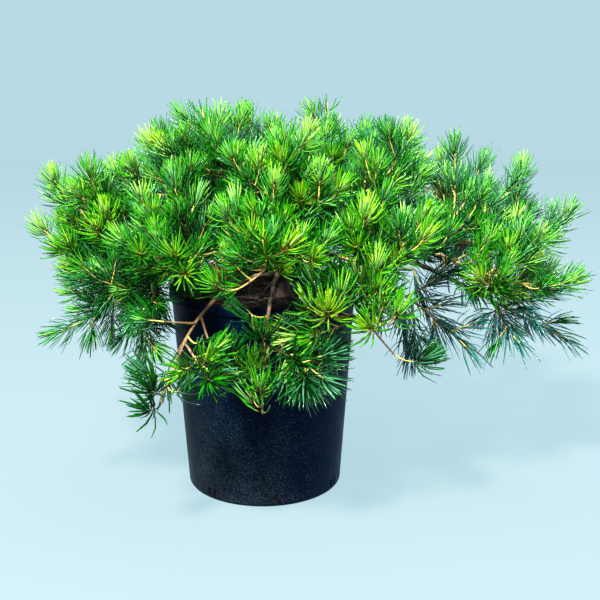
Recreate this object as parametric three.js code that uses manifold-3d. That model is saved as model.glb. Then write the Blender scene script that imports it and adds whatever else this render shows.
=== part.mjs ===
// A dwarf banksia in a black nursery pot, in millimetres with +Z up.
// The origin is the centre of the pot's flat underside, and the front of the plant faces -Y.
import * as THREE from "three";
import { mergeVertices } from "three/addons/utils/BufferGeometryUtils.js";
import Module from "manifold-3d";

const wasm = await Module();
wasm.setup();

// Driving dimensions
const CLEAR = 0.3; // gap between two pieces that meet
const GOLDEN_ANGLE = Math.PI * (3 - Math.sqrt(5));

const POT = {
  height: 224,
  topRadius: 100, // outside of the wall just under the lip
  baseRadius: 85,
  wall: 2.2,
  floor: 3,
  lipHeight: 11,
  lipOverhang: 2,
  lipRound: 1,
  cornerRadius: 4,
  sides: 48,
};
const SLOT = { groups: 7, firstAngle: 230, pairAngle: 5.5, width: 3.4, height: 9, depth: 13, foot: 1.5 };
const MIX = { below: 18, mound: 3, crown: 0.6 }; // depth of its edge under the rim, and its flat crown
const FOOT = new THREE.Vector3(20, 0, POT.height - MIX.below + MIX.mound);
const TRUNK = {
  height: 76,
  leanX: 6,
  leanY: 5,
  rootRadius: 8.5,
  tipRadius: 5.2,
  flare: 5.5, // added to the radius at the ground, and gone a few times flareHeight above it
  flareHeight: 9,
  sides: 9,
  steps: 9,
};
const LIMB = { rootRadius: 4.4, tipRadius: 3.3, sides: 6, steps: 5 };
const BOUGH = { rootRadius: 3.1, tipRadius: 1.9, sides: 5, steps: 4 };
const STEM = { length: 56, radius: 1.9, firstTwig: 0.28, lastTwig: 0.8, steps: 3 };
const SEED = { first: 1000, step: 77 };
const TWIG = { perStem: 5, length: 50, vary: 0.18, diverge: 56, lift: 0.42, radius: 1.5, steps: 3 };
const LEAF = {
  perTwig: 5,
  length: 44, // a quarter longer and four times wider than a real one, since each stands for several
  width: 7.5,
  thick: 1.8,
  first: 0.3, // shares of the twig between which leaves stand
  last: 0.88,
  open: 74, // lean away from the twig at its first leaf and at its last
  closed: 26,
  curl: 0.14,
  steps: 2,
};
const SPACE_RADIUS = 98; // how far a mass reaches from the middle of a stem of the usual length

// Main limbs leave the trunk and carry the boughs. Angles are degrees round +Z from +X.
// reach and rise place a limb's tip from the trunk's foot, and arch lifts its middle.
const LIMBS = [
  { name: "limb_left", on: "trunk", at: 0.5, azimuth: 187, reach: 84, rise: 64, arch: 6 },
  { name: "limb_right", on: "trunk", at: 0.62, azimuth: 354, reach: 104, rise: 70, arch: 8 },
  { name: "limb_front", on: "trunk", at: 0.72, azimuth: 262, reach: 58, rise: 66, arch: 5 },
  { name: "limb_back", on: "trunk", at: 0.56, azimuth: 88, reach: 72, rise: 66, arch: 6 },
];

// Each bough is listed under what carries it, and ends where it enters its mass of leaves. pitch is the rise
// of the mass's stem at its end, heading its direction where that differs from the bough's, stem its length
// where that isn't the usual one, and lift how far its twigs turn up.
const BOUGHS = {
  trunk: [
    { name: "top_left", at: 0.82, azimuth: 184, reach: 69, rise: 95, arch: 0, pitch: 54 },
    { name: "top_mid_left", at: 1, azimuth: 172, reach: 36, rise: 108, arch: 0, pitch: 72 },
    { name: "top_mid", at: 0.93, azimuth: 52, reach: 34, rise: 92, arch: -4, pitch: 66 },
    { name: "top_right", at: 0.87, azimuth: 356, reach: 68, rise: 95, arch: -3, pitch: 56 },
    { name: "front_top", at: 0.8, azimuth: 274, reach: 58, rise: 98, arch: -2, pitch: 52 },
    { name: "back_high", at: 0.76, azimuth: 94, reach: 66, rise: 93, arch: -2, pitch: 52 },
    { name: "right_hang", at: 0.34, azimuth: 338, reach: 120, rise: 24, arch: 20, pitch: -40, lift: 0 },
    {
      name: "front_star",
      at: 0.42,
      azimuth: 304,
      reach: 136,
      rise: 22,
      arch: 18,
      pitch: 10,
      heading: 215,
      stem: 44,
    },
    {
      name: "front_hang_left",
      at: 0.3,
      azimuth: 236,
      reach: 118,
      rise: 23,
      arch: 22,
      pitch: -64,
      heading: 230,
      stem: 90,
      lift: 0,
    },
    {
      name: "front_hang_right",
      at: 0.38,
      azimuth: 265,
      reach: 120,
      rise: 20,
      arch: 24,
      pitch: -72,
      stem: 66,
      lift: 0,
    },
    { name: "back_low", at: 0.26, azimuth: 108, reach: 126, rise: 26, arch: 20, pitch: -40, lift: 0 },
  ],
  limb_left: [
    { name: "left_high", at: 0.82, azimuth: 188, reach: 136, rise: 68, arch: -4, pitch: 28 },
    { name: "left_tip", at: 1, azimuth: 182, reach: 150, rise: 56, arch: 6, pitch: 6 },
    { name: "left_low", at: 0.62, azimuth: 203, reach: 130, rise: 40, arch: 12, pitch: -22, lift: 0 },
    { name: "back_left_low", at: 0.42, azimuth: 154, reach: 138, rise: 42, arch: 10, pitch: -18, lift: 0.1 },
  ],
  limb_right: [
    { name: "right_high", at: 0.66, azimuth: 1, reach: 150, rise: 61, arch: -5, pitch: 36 },
    { name: "right_far", at: 1, azimuth: 1, reach: 202, rise: 58, arch: 3, pitch: 16 },
    { name: "right_mid", at: 0.86, azimuth: 346, reach: 188, rise: 50, arch: 10, pitch: -12, lift: 0.3 },
    { name: "right_low", at: 0.5, azimuth: 354, reach: 205, rise: 14, arch: 16, pitch: -26, lift: 0 },
    { name: "back_right_far", at: 0.76, azimuth: 28, reach: 184, rise: 66, arch: 6, pitch: 12 },
  ],
  limb_front: [
    { name: "front_mid_left", at: 0.7, azimuth: 228, reach: 104, rise: 66, arch: 6, pitch: 14 },
    { name: "front_mid", at: 1, azimuth: 266, reach: 104, rise: 70, arch: 4, pitch: 16 },
    { name: "front_mid_right", at: 0.84, azimuth: 304, reach: 112, rise: 66, arch: 5, pitch: 16 },
  ],
  limb_back: [
    { name: "back_left", at: 0.72, azimuth: 128, reach: 122, rise: 90, arch: 0, pitch: 32 },
    { name: "back_far", at: 1, azimuth: 92, reach: 130, rise: 70, arch: 4, pitch: 14 },
    { name: "back_right", at: 0.86, azimuth: 54, reach: 124, rise: 92, arch: 2, pitch: 34 },
  ],
};

const finish = (color, roughness) => new THREE.MeshStandardMaterial({ color, roughness, metalness: 0 });
const MATERIALS = {
  pot: finish(0x14181d, 0.55),
  mix: finish(0x2e251e, 0.95),
  bark: finish(0x7d6242, 0.85),
  youngBark: finish(0x9c7d45, 0.8),
  leaf: finish(0x3f8a2a, 0.55),
};

const UP = new THREE.Vector3(0, 0, 1);
const ACROSS = new THREE.Vector3(1, 0, 0);

// Direction of a compass angle and a rise above the horizon, both in degrees
function direction(azimuth, pitch) {
  const a = THREE.MathUtils.degToRad(azimuth);
  const p = THREE.MathUtils.degToRad(pitch);
  return new THREE.Vector3(Math.cos(a) * Math.cos(p), Math.sin(a) * Math.cos(p), Math.sin(p));
}

// Numbers from 0 to 1 that are the same for the same seed
function seeded(seed) {
  let state = seed >>> 0;
  return () => {
    state = (Math.imul(state, 1664525) + 1013904223) >>> 0;
    return state / 2 ** 32;
  };
}

// Solids
function solidOf(geometry) {
  geometry.deleteAttribute("normal");
  geometry.deleteAttribute("uv");
  const merged = mergeVertices(geometry);
  return new wasm.Manifold(
    new wasm.Mesh({
      numProp: 3,
      vertProperties: merged.getAttribute("position").array,
      triVerts: new Uint32Array(merged.index.array),
    }),
  );
}

function meshOf(name, solid, material) {
  const { numProp, vertProperties, triVerts } = solid.getMesh();
  const geometry = new THREE.BufferGeometry();
  geometry.setAttribute("position", new THREE.BufferAttribute(vertProperties, numProp));
  geometry.setIndex(new THREE.BufferAttribute(triVerts, 1));
  const mesh = new THREE.Mesh(geometry.toNonIndexed(), material);
  mesh.geometry.computeVertexNormals();
  mesh.name = name;
  return mesh;
}

function largestBody(solid) {
  return solid.decompose().sort((a, b) => b.volume() - a.volume())[0];
}

// A shape of rings along +Y, bent so that its rings follow a curve. shareOf gives a ring's share of the
// length, halfSize the half width and half depth there, and side the direction that the width lies in.
function bent(geometry, shareOf, { curve, side, halfSize }) {
  const place = geometry.getAttribute("position");
  for (let i = 0; i < place.count; i++) {
    const share = shareOf(place.getY(i));
    const along = curve.getTangent(share);
    const across = side.clone().addScaledVector(along, -side.dot(along)).normalize();
    const deep = across.clone().cross(along);
    const [width, depth] = halfSize(share);
    const rim = Math.hypot(place.getX(i), place.getZ(i));
    const out = rim < 1e-6 ? 0 : 1 / rim;
    const point = curve
      .getPoint(share)
      .addScaledVector(across, place.getX(i) * out * width)
      .addScaledVector(deep, place.getZ(i) * out * depth);
    place.setXYZ(i, point.x, point.y, point.z);
  }
  return solidOf(geometry);
}

// A limb with flat ends
function bentTube(sides, steps, path) {
  const shareOf = (y) => Math.round((y + 0.5) * steps) / steps;
  return bent(new THREE.CylinderGeometry(1, 1, 1, sides, steps), shareOf, path);
}

// A stem with a flat root and a pointed tip
function bentCone(sides, steps, path) {
  const shareOf = (y) => Math.round((y + 0.5) * steps) / steps;
  return bent(new THREE.ConeGeometry(1, 1, sides, steps), shareOf, path);
}

// A three-sided twig or leaf that is pointed at both ends
function bentSpindle(steps, path) {
  const shareOf = (y) => 1 - Math.round((Math.acos(y) / Math.PI) * steps) / steps;
  return bent(new THREE.SphereGeometry(1, 3, steps), shareOf, path);
}

// A profile of [radius, height] points turned about the +Z axis
function turned(profile, sides) {
  const points = profile.map(([radius, height]) => new THREE.Vector2(radius, height));
  return solidOf(new THREE.LatheGeometry(points, sides).rotateX(Math.PI / 2));
}

// Pot and potting mix
const wallRadius = (height) => THREE.MathUtils.lerp(POT.baseRadius, POT.topRadius, height / POT.height);
const innerRadius = (height) => wallRadius(height) - POT.wall;

function drainSlots() {
  const slots = [];
  for (let group = 0; group < SLOT.groups; group++) {
    for (const half of [-0.5, 0.5]) {
      const angle = SLOT.firstAngle + (group * 360) / SLOT.groups + half * SLOT.pairAngle;
      const box = new THREE.BoxGeometry(SLOT.depth, SLOT.width, SLOT.height);
      box.translate(POT.baseRadius, 0, POT.floor + SLOT.foot + SLOT.height / 2);
      slots.push(solidOf(box.rotateZ(THREE.MathUtils.degToRad(angle))));
    }
  }
  return slots;
}

function makePot() {
  const { height, lipHeight, lipOverhang, lipRound, cornerRadius, floor } = POT;
  const lipRadius = POT.topRadius + lipOverhang;
  const lipFoot = height - lipHeight;
  const profile = [
    [0, 0],
    [POT.baseRadius - cornerRadius, 0],
    [POT.baseRadius - cornerRadius * 0.3, cornerRadius * 0.3],
    [wallRadius(cornerRadius), cornerRadius],
    [wallRadius(lipFoot), lipFoot],
    [lipRadius, lipFoot + lipOverhang],
    [lipRadius, height - lipRound],
    [lipRadius - lipRound, height],
    [innerRadius(height), height],
    [innerRadius(floor), floor],
    [0, floor],
  ];
  return drainSlots().reduce((pot, slot) => pot.subtract(slot), turned(profile, POT.sides));
}

function makeMix() {
  const edge = POT.height - MIX.below;
  const foot = POT.floor + CLEAR;
  const profile = [
    [0, foot],
    [innerRadius(foot) - CLEAR, foot],
    [innerRadius(edge) - CLEAR, edge],
    [innerRadius(edge) * MIX.crown, edge + MIX.mound],
    [0, edge + MIX.mound],
  ];
  return turned(profile, POT.sides);
}

// Trunk, limbs and boughs: each is a curve with a radius at each share of its length
function trunkPart() {
  const { height, leanX, leanY, rootRadius, tipRadius, flare, flareHeight } = TRUNK;
  const foot = FOOT.clone().addScaledVector(UP, CLEAR);
  const curve = new THREE.QuadraticBezierCurve3(
    foot,
    foot.clone().addScaledVector(UP, height / 2),
    foot.clone().add(new THREE.Vector3(leanX, leanY, height)),
  );
  const radius = (share) =>
    THREE.MathUtils.lerp(rootRadius, tipRadius, share) + flare * Math.exp((-share * height) / flareHeight);
  return { name: "trunk", curve, radius, sides: TRUNK.sides, steps: TRUNK.steps, side: ACROSS };
}

function limbPart(row, size, parts) {
  const parent = parts.find((part) => part.name === row.on);
  const start = parent.curve.getPoint(row.at);
  const outward = direction(row.azimuth, 0);
  const tip = FOOT.clone().addScaledVector(outward, row.reach).addScaledVector(UP, row.rise);
  const middle = start.clone().lerp(tip, 0.5).addScaledVector(UP, row.arch);
  const radius = (share) => THREE.MathUtils.lerp(size.rootRadius, size.tipRadius, share);
  const side = UP.clone().cross(tip.clone().sub(start)).normalize();
  const curve = new THREE.QuadraticBezierCurve3(start, middle, tip);
  return { ...row, curve, radius, side, sides: size.sides, steps: size.steps };
}

function limbSolid(part, grown = 0) {
  const halfSize = (share) => [part.radius(share) + grown, part.radius(share) + grown];
  return bentTube(part.sides, part.steps, { curve: part.curve, side: part.side, halfSize });
}

// Foliage: a stem goes on from the bough's tip, twigs leave it by turns, and leaves stand round each twig
function stemCurve(bough, length) {
  const out = bough.curve.getTangent(1);
  const start = bough.curve.getPoint(1).addScaledVector(out, CLEAR);
  const middle = start.clone().addScaledVector(out, length / 2);
  const end = direction(bough.heading ?? bough.azimuth, bough.pitch);
  const tip = middle.clone().addScaledVector(end, length / 2);
  return new THREE.QuadraticBezierCurve3(start, middle, tip);
}

// A direction square to an axis
function squareTo(axis) {
  const isUpright = Math.abs(axis.z) > 0.9;
  return (isUpright ? ACROSS : UP).clone().cross(axis).normalize();
}

// A direction that leans away from an axis by tilt degrees, on the side that turn gives
function leaning(axis, tilt, turn) {
  const side = squareTo(axis).applyAxisAngle(axis, turn);
  const t = THREE.MathUtils.degToRad(tilt);
  return axis.clone().multiplyScalar(Math.cos(t)).addScaledVector(side, Math.sin(t));
}

function twigCurves(stem, lift, random) {
  const curves = [];
  const firstTurn = random() * 2 * Math.PI;
  for (let i = 0; i < TWIG.perStem; i++) {
    const last = i === TWIG.perStem - 1;
    const share = THREE.MathUtils.lerp(STEM.firstTwig, STEM.lastTwig, i / (TWIG.perStem - 1));
    const length = TWIG.length * (1 + TWIG.vary * (2 * random() - 1));
    const tilt = last ? 0 : TWIG.diverge * (1 + TWIG.vary * (2 * random() - 1));
    const out = leaning(stem.getTangent(share), tilt, firstTurn + i * GOLDEN_ANGLE);
    const start = stem.getPoint(share);
    const middle = start.clone().addScaledVector(out, length / 2);
    const turnedUp = out.clone().addScaledVector(UP, lift).normalize();
    const tip = middle.clone().addScaledVector(turnedUp, length / 2);
    curves.push(new THREE.QuadraticBezierCurve3(start, middle, tip));
  }
  return curves;
}

function leafCurves(twig, random) {
  const leaves = [];
  const firstTurn = random() * 2 * Math.PI;
  for (let i = 0; i < LEAF.perTwig; i++) {
    const along = i / (LEAF.perTwig - 1);
    const share = THREE.MathUtils.lerp(LEAF.first, LEAF.last, along);
    const axis = twig.getTangent(share);
    const tilt = THREE.MathUtils.lerp(LEAF.open, LEAF.closed, along);
    const out = leaning(axis, tilt, firstTurn + i * GOLDEN_ANGLE);
    const start = twig.getPoint(share);
    const tip = start.clone().addScaledVector(out, LEAF.length);
    const middle = start.clone().lerp(tip, 0.5).addScaledVector(axis, -LEAF.curl * LEAF.length);
    const side = out.clone().cross(axis).normalize();
    leaves.push({ curve: new THREE.QuadraticBezierCurve3(start, middle, tip), side });
  }
  return leaves;
}

function stemSolid(curve) {
  const side = squareTo(curve.getTangent(0));
  return bentCone(BOUGH.sides, STEM.steps, { curve, side, halfSize: () => [STEM.radius, STEM.radius] });
}

function twigSolid(curve) {
  const side = squareTo(curve.getTangent(0));
  return bentSpindle(TWIG.steps, { curve, side, halfSize: () => [TWIG.radius, TWIG.radius] });
}

// A triangle in a circle of radius 1 is root 3 wide and 1.5 deep
function leafSolid({ curve, side }) {
  const section = [LEAF.width / Math.sqrt(3), LEAF.thick / 1.5];
  return bentSpindle(LEAF.steps, { curve, side, halfSize: () => section });
}

// What already stands, which a twig or leaf keeps clear of
const standing = [];
function stand(solid) {
  standing.push({ solid, box: boxOf(solid) });
  return solid;
}

function boxOf(solid) {
  const { min, max } = solid.boundingBox();
  return new THREE.Box3(new THREE.Vector3(...min), new THREE.Vector3(...max));
}

function isFree(solid) {
  const reach = 2 * CLEAR;
  const box = boxOf(solid).expandByScalar(reach);
  const isNear = (other) => box.intersectsBox(other.box) && solid.minGap(other.solid, reach) < reach;
  return !standing.some(isNear);
}

function makeMass(bough, index) {
  const random = seeded(SEED.first + SEED.step * index);
  const length = bough.stem ?? STEM.length;
  const stem = stemCurve(bough, length);
  const middle = stem.getPoint(0.5);
  const space = SPACE_RADIUS + (length - STEM.length) / 2;
  const pieces = [stemSolid(stem)];
  for (const twig of twigCurves(stem, bough.lift ?? TWIG.lift, random)) {
    const leaves = leafCurves(twig, random);
    const twigPiece = twigSolid(twig);
    if (!isFree(twigPiece)) continue;
    pieces.push(twigPiece);
    for (const leaf of leaves) {
      const inSpace = leaf.curve.getPoint(1).distanceTo(middle) < space;
      const piece = leafSolid(leaf);
      if (inSpace && isFree(piece)) pieces.push(piece);
    }
  }
  return largestBody(wasm.Manifold.union(pieces));
}

// The whole plant
const plant = new THREE.Group();
plant.add(meshOf("pot", stand(makePot()), MATERIALS.pot));
plant.add(meshOf("potting_mix", stand(makeMix()), MATERIALS.mix));

const parts = [trunkPart()];
LIMBS.forEach((row) => parts.push(limbPart(row, LIMB, parts)));
const boughRows = Object.entries(BOUGHS).flatMap(([on, rows]) => rows.map((row) => ({ ...row, on })));
const boughs = boughRows.map((row) => limbPart(row, BOUGH, parts));

const grownParts = [];
function addLimb(name, part, material) {
  const solid = grownParts.reduce((body, other) => body.subtract(other), limbSolid(part));
  grownParts.push(limbSolid(part, CLEAR));
  plant.add(meshOf(name, stand(largestBody(solid)), material));
}
parts.forEach((part) => addLimb(part.name, part, MATERIALS.bark));
boughs.forEach((bough) => addLimb(`bough_${bough.name}`, bough, MATERIALS.youngBark));
boughs.forEach((bough, index) => {
  plant.add(meshOf(`leaves_${bough.name}`, stand(makeMass(bough, index)), MATERIALS.leaf));
});

export default plant;
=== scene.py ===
# Dresses a dwarf banksia in a black nursery pot: moulded pot, potting mix, bark, twigs and needle leaves.
# Sizes are in millimetres in the frame of the solids, and become metres where a mesh is made.
import math
from dataclasses import dataclass, fields
from types import SimpleNamespace

import bpy
import numpy as np
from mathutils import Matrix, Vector


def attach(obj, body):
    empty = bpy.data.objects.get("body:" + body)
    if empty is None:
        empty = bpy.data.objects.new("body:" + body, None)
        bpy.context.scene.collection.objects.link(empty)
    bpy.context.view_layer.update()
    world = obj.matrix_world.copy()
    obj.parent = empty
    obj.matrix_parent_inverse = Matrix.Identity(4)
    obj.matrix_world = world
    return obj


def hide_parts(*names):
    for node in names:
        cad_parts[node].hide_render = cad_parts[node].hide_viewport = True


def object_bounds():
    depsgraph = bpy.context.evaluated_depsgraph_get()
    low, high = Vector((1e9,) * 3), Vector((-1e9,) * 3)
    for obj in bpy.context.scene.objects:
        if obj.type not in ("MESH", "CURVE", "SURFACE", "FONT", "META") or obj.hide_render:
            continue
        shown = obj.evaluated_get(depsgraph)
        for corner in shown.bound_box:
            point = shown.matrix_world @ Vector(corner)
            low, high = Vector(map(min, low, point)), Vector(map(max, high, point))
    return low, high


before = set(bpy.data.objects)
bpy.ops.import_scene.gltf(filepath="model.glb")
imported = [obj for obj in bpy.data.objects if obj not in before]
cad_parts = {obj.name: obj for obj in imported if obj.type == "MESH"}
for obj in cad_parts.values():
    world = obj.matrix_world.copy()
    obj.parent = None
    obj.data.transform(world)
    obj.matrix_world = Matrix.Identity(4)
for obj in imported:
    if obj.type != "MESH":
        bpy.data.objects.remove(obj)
cad_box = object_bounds()

MM = 0.001
UP = np.array([0.0, 0.0, 1.0])
ACROSS = np.array([1.0, 0.0, 0.0])
STEEP = 0.9  # rise from which a direction counts as upright
GOLDEN_ANGLE = math.pi * (3 - math.sqrt(5))
CLEAR = 0.3  # gap between two solids that meet
MEAN_NOISE = 0.5  # middle level of a noise

# Sizes of the pot, the mix and the wood, as in the solids
POT = SimpleNamespace(
    height=224, top_radius=100, base_radius=85, wall=2.2, floor=3, sides=192,
    lip_height=11, lip_overhang=2, lip_round=1, lip_steps=4, corner_radius=4, corner_steps=6,
)
SLOT = SimpleNamespace(groups=7, first_angle=230, pair_angle=5.5, width=3.4, height=9, depth=13, foot=1.5)
MIX = SimpleNamespace(below=18, mound=3, crown=0.6, skin=1, rings=40, sides=128)
FOOT = np.array([20.0, 0.0, POT.height - MIX.below + MIX.mound])
TRUNK = SimpleNamespace(
    height=76, lean=np.array([6.0, 5.0, 0.0]), root_radius=8.5, tip_radius=5.2, flare=5.5, flare_height=9,
)
LIMB = SimpleNamespace(root_radius=4.4, tip_radius=3.3)
BOUGH = SimpleNamespace(root_radius=3.1, tip_radius=1.9)
STEM = SimpleNamespace(length=56, root_radius=1.9, tip_radius=1.2, first_twig=0.28, last_twig=0.8)
TWIG = SimpleNamespace(
    per_stem=5, length=50, vary=0.18, diverge=56, lift=0.42, root_radius=1.5, tip_radius=0.7,
)
SEED = SimpleNamespace(first=1000, step=77, factor=1664525, shift=1013904223, numbers=2**32)

# Finer growth than the solids have: shoots along a twig or only on its outer half, a leader that goes on
# from its tip, and shoots on stems, boughs and limbs. first and last are the shares of the parent between
# which they stand, vary how much lengths and angles differ, and darker how much darker their leaves are:
# partly because they are older, and partly as painted shade where they sit deep in the crown.
SIDE_SHOOT = SimpleNamespace(first=0.12, last=0.9, length=30, vary=0.22, diverge=52, darker=0.04)
END_SHOOT = SimpleNamespace(first=0.5, last=0.95, length=27, vary=0.22, diverge=52, darker=0.04)
LEADER = SimpleNamespace(count=1, first=0.98, last=0.98, length=25, vary=0.5, diverge=12, darker=0.0)
STEM_SHOOT = SimpleNamespace(first=0.05, last=0.7, length=34, vary=0.2, diverge=58, darker=0.18)
INNER_SHOOT = SimpleNamespace(first=0.3, last=1.0, length=38, vary=0.25, diverge=62, darker=0.32)
LIMB_SHOOT = SimpleNamespace(first=0.35, last=1.0, length=40, vary=0.25, diverge=66)
# Leaves on the limbs are dark partly as painted shade, deep inside the crown
LIMB_LEAVES = SimpleNamespace(gap=9, shade=0.7)  # length of limb for each shoot, and its leaves' shade
SHOOT = SimpleNamespace(root_radius=1.0, tip_radius=0.55)
LEAST_STEPS = 4  # least number of steps along a piece of wood

# Leaves: length of the youngest as a share of the oldest's, how much lengths vary, thickness as a share of
# width, scatter of the lean in degrees and of the turn in radians, and the share of the lean that tips keep
NEEDLE = SimpleNamespace(young=0.7, vary=0.1, thick=0.45, scatter=8, turn_scatter=0.15, incurve=0.3)
NEEDLE_SIDES = 3
NEEDLE_STATIONS = ((0.2, 0.8), (0.5, 1.0), (0.9, 0.62))  # shares of the length, and of the width there
NEEDLE_STEPS = (1, 0, 1, 4)  # shades by which the parts between the stations are darker, from base to tip
STAR = SimpleNamespace(wider=34, straighter=0.45)  # what the most open tufts add to closed and to incurve
TESTED_SHOOT = np.linspace(0.3, 1, 5)  # shares along a shoot that have to be clear of the pot and the gaps
TESTED_LEAF = (0.3, 0.55, 0.8, 1.0)  # the same for a leaf
REACH_SPARE = 4.0  # how far leaves may pass the solids
LEAVES_PER_PIECE = 10000

# Shades of the leaves, from 0, the lime of new growth, to 1, the blue green of old leaves. The darker shades
# also serve as painted shade deep in the tufts and the crown.
# A shoot's first leaves are its oldest and sit deepest in the tuft, so their darkening is partly age and
# partly painted shade
AGE_AND_TUFT_SHADE = 0.45  # how much darker a shoot's first leaves are than its last
TWIG_DARKER = 0.2  # how much darker leaves on the twigs themselves are
SHADE_SPREAD = SimpleNamespace(shoot=0.14, leaf=0.09)  # how much the shade differs between neighbours
GOLDEN_BASE = 0.5  # leaves paler than this have golden bases
DEAD = 2.0  # stands for a dead spray
DEAD_SHARE = 0.05  # share of the inner shoots that are dead

# Gaps in the leaves: slanting tubes to the front, through which the pot's mouth and its left wall show.
# x and height are where a tube's middle starts, and drift and slope how they change towards the back.
OPENINGS = (
    SimpleNamespace(x=6, height=214, drift=0.0, slope=-0.26, half_width=28, half_height=20),
    SimpleNamespace(x=-70, height=187, drift=-0.094, slope=-0.284, half_width=27, half_height=17),
)

# How a mass grows. rule says how shoots stand on its twigs, and side how many each twig has. stem is how
# many the stem has, inner the length of bough for each inner shoot, and lift how far shoots turn up.
# bare_twig and bare are the leafless shares of twigs and shoots, from their roots, and wood is the kind of
# bark. open and closed are the lean in degrees of a shoot's first and last leaves, spread how far tufts
# differ in openness, rise how far tips turn up, spacing the length of shoot for each leaf, and darkest the
# darkest shade.
HABITS = {
    "brush": SimpleNamespace(
        side=4, stem=3, inner=10, lift=1.0, bare_twig=0.7, bare=0.54, wood="tan", rule=SIDE_SHOOT,
        open=74, closed=8, spread=0.6, rise=0.2, length=31, width=1.75, spacing=0.34, darkest=0.88,
    ),
    "drooping": SimpleNamespace(
        side=5, stem=4, inner=12, lift=0.25, bare_twig=0.3, bare=0.3, wood="tan", rule=SIDE_SHOOT,
        open=70, closed=8, spread=0.5, rise=-0.05, length=31, width=1.45, spacing=0.56, darkest=0.88,
    ),
    "open": SimpleNamespace(
        side=2, stem=1, inner=24, lift=1.0, bare_twig=0.75, bare=0.54, wood="tan", rule=SIDE_SHOOT,
        open=74, closed=8, spread=0.6, rise=0.2, length=32, width=1.8, spacing=0.34, darkest=0.88,
    ),
    "star": SimpleNamespace(
        side=4, stem=3, inner=40, lift=1.7, bare_twig=1.0, bare=0.64, wood="brown", rule=END_SHOOT,
        open=80, closed=14, spread=0.15, rise=0.25, length=37, width=2.2, spacing=0.25, darkest=0.88,
    ),
    "hanging": SimpleNamespace(
        side=2, stem=2, inner=26, lift=-0.1, bare_twig=0.3, bare=0.1, wood="grey", rule=SIDE_SHOOT,
        open=56, closed=8, spread=0.0, rise=-0.35, length=37, width=1.6, spacing=1.35, darkest=1,
    ),
}

# Bark of each kind of wood: length of its steps, its sides, how far it wanders between its ends, and the
# height and noise scale of its relief
RELIEF = {
    "trunk": SimpleNamespace(step=1.5, sides=40, wander=12, height=3.5, grain=230.0),
    "limb": SimpleNamespace(step=1.5, sides=24, wander=20, height=1.6, grain=320.0),
    "bough": SimpleNamespace(step=2, sides=14, wander=20, height=1, grain=420.0),
    "twig": SimpleNamespace(step=4, sides=8, wander=6, height=0.6, grain=500.0),
    "shoot": SimpleNamespace(step=4, sides=6, wander=4, height=0.3, grain=500.0),
    "dry_twig": SimpleNamespace(step=3, sides=8, wander=10, height=0.6, grain=500.0),
}
FIBRE = (1.0, 1.0, 0.4)  # stretch of the bark's grain, which runs up the wood

# Bits on the mix: count for each square metre, seed, least and greatest half sizes, and two colours. The
# bark chips' colours are kept dark partly as painted shade in the pot's mouth under the leaves.
CHIPS = (
    ("bark_chips", 16000, 3, (1.6, 1.0, 0.5), (5.5, 2.6, 1.4), (0.014, 0.013, 0.013), (0.08, 0.074, 0.074)),
    ("pale_grit", 2500, 8, (0.7, 0.7, 0.6), (1.7, 1.4, 1.2), (0.2, 0.19, 0.18), (0.42, 0.4, 0.38)),
)
CHIP = SimpleNamespace(tilt=0.5, dent=0.4)  # greatest lean in radians, and noise level of an even surface

# Fallen needles and dry twigs: sizes, height of their middles over the mix, how far they bow up, how far
# their ends dip or rise, and the least and greatest share of the full length
LITTER = SimpleNamespace(
    seed=5, length=30, width=1.7, height=2.2, bow=4, dip=-0.02, rise=0.1, shortest=0.7, longest=1.1,
    twigs=26, twig_length=46, twig_height=3.4, twig_bow=3, twig_root=1.4, twig_tip=0.8,
)
# Fallen needles, each kind with its count and colour, darkened partly as painted shade in the pot's mouth
FALLEN_NEEDLES = (("grey_needles", 220, (0.045, 0.042, 0.045)), ("rusty_needles", 80, (0.1, 0.045, 0.02)))

# Finishes. A pair has the noise levels, or the places in metres, between which one look turns into another.
LEAF_FINISH = SimpleNamespace(roughness=0.16, specular=0.28)
BARK_FINISH = SimpleNamespace(roughness=0.85, ridges=(0.35, 0.62), blooms=(0.5, 0.72), bloom_grain=0.16)
SOIL = SimpleNamespace(
    roughness=0.95, dark=(0.008, 0.007, 0.007), light=(0.045, 0.038, 0.034), crumbs=(0.38, 0.66),
    crumb_grain=300.0, chip_grain=220.0, lump=5, lump_grain=90.0,
)
PLASTIC = SimpleNamespace(
    base=(0.008, 0.01, 0.014), thin_film=(0.0003, 0.004, 0.018), thick_film=(0.001, 0.009, 0.03), film=0.7,
    roughness=0.42, clouds=(0.3, 0.7), cloud_roughness=(0.36, 0.5), specular=0.05,
)
DUST = SimpleNamespace(
    colour=(0.013, 0.024, 0.03), heights=(0.16, 0.01), sides=(0.07, -0.06), least=0.2,
    grit_colour=(0.08, 0.095, 0.09), grit=2.0, grit_edge=(0.42, 0.2),
)

# Main limbs leave the trunk and carry the boughs. Angles are degrees round +Z from +X.
# reach and rise place a limb's tip from the trunk's foot, and arch lifts its middle.
LIMBS = {
    "limb_left": dict(at=0.5, azimuth=187, reach=84, rise=64, arch=6),
    "limb_right": dict(at=0.62, azimuth=354, reach=104, rise=70, arch=8),
    "limb_front": dict(at=0.72, azimuth=262, reach=58, rise=66, arch=5),
    "limb_back": dict(at=0.56, azimuth=88, reach=72, rise=66, arch=6),
}
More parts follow.
